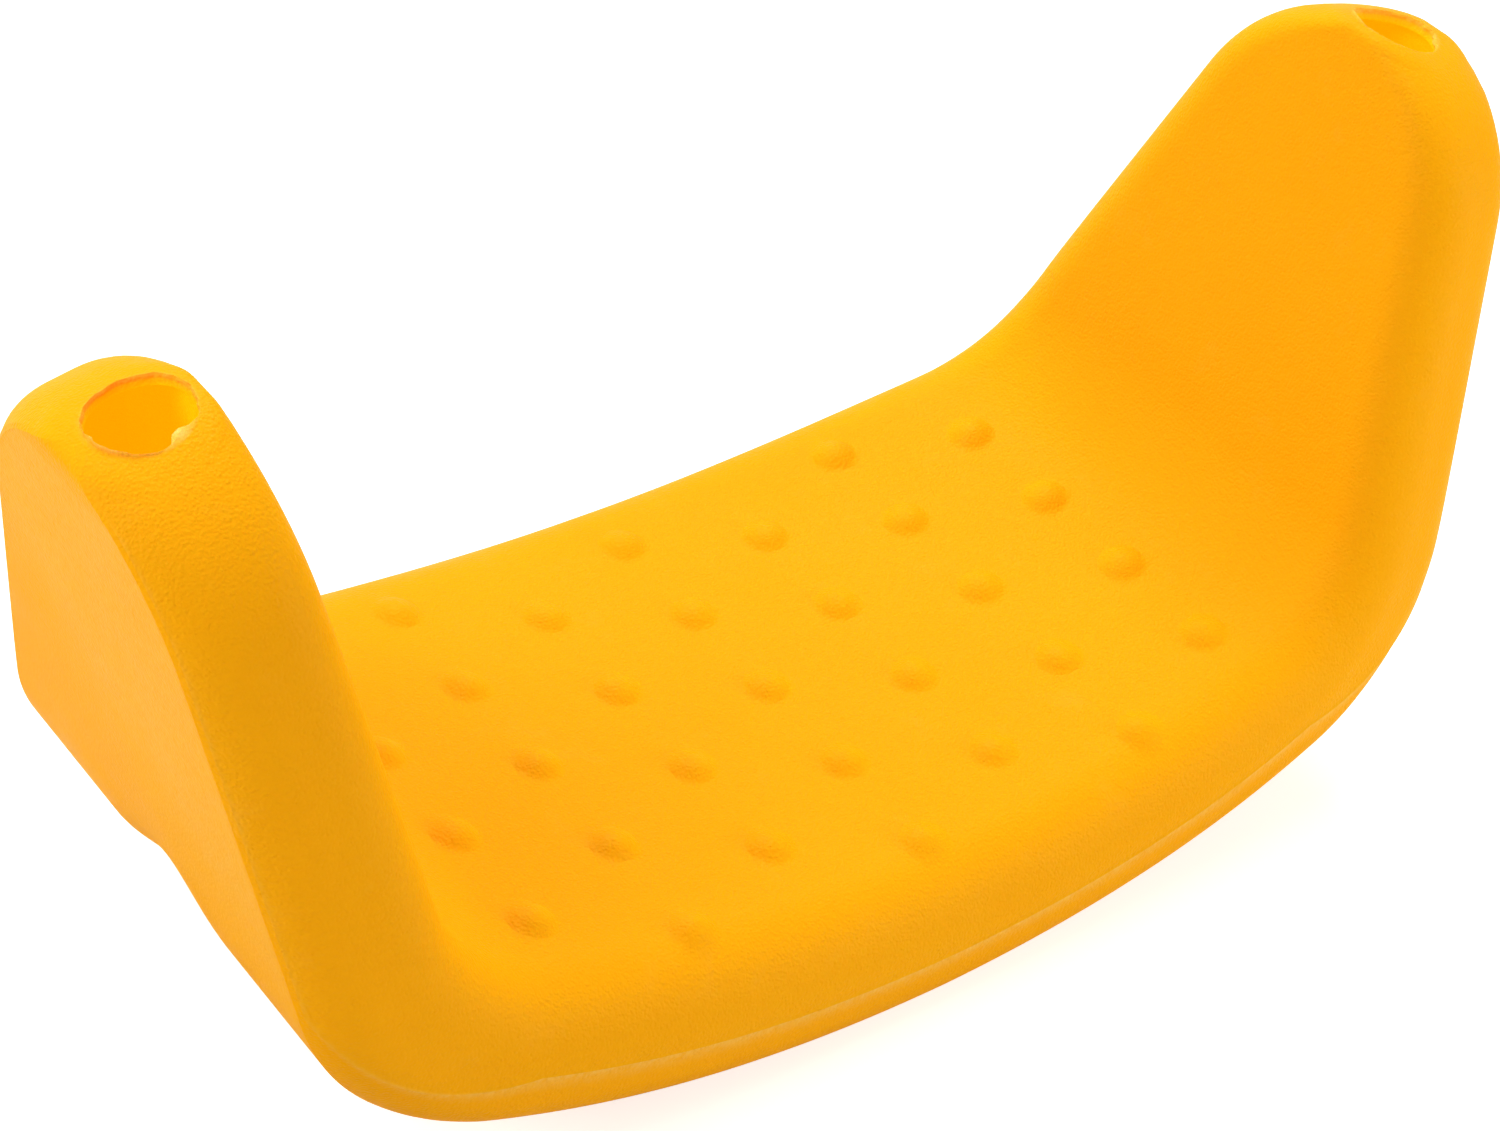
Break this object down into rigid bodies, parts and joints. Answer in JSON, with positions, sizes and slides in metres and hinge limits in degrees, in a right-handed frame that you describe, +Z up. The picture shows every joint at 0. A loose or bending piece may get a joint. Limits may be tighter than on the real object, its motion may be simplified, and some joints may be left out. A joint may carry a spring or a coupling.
{
  "type": "swing seat",
  "caption": "Hollow plastic swing seat: a dished, studded floor between two upright wings, each with a rope hole in its rounded tip and a rope outlet in the bend below.",
  "frame": {"origin": "on the standing surface, under the middle of the seat", "axes": "+X along the seat from wing to wing, -Y out of the front edge, +Z up"},
  "size_m": [0.4114, 0.18, 0.1963],
  "materials": {
    "yellow_plastic": "through-coloured warm yellow polyethylene with a fine moulded grain and a soft sheen"
  },
  "bodies": {
    "root": {"upper_skin": "yellow_plastic", "lower_skin": "yellow_plastic"}
  },
  "joints": []
}
